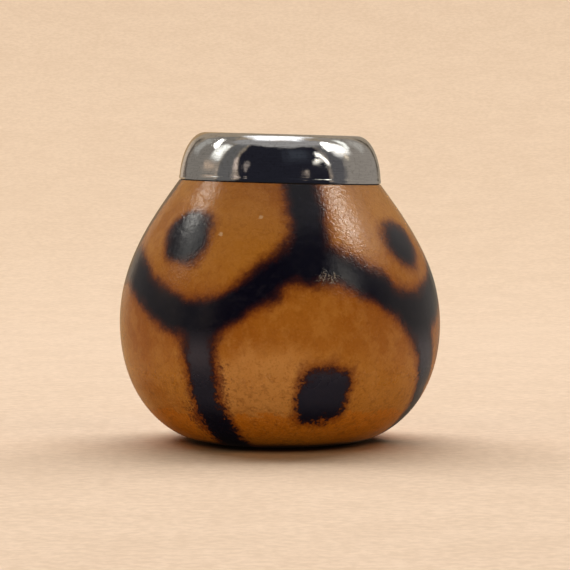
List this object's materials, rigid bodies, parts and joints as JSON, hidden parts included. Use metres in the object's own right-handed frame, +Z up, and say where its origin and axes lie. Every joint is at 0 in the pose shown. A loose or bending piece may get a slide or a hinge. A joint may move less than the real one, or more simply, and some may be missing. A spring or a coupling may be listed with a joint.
{
  "type": "gourd drinking cup",
  "caption": "Rounded hollow calabash cup with a flat base, a trimmed neck and a polished pressed-metal rim glued over the cut mouth.",
  "frame": {"origin": "centre of the flat base, on the surface that the gourd stands on", "axes": "+Z up, +X to the right and +Y away, seen from the picture's side; the rim leans down slightly towards +X"},
  "size_m": [0.085, 0.085, 0.0816],
  "materials": {
    "gourd": "amber gourd rind burnt with dark bands and spots, under a clear varnish",
    "rim": "polished pressed sheet with fine wear",
    "glue": "dark set glue"
  },
  "bodies": {
    "root": {"gourd_shell": "gourd", "metal_rim": "rim", "rim_glue": "glue"}
  },
  "joints": []
}
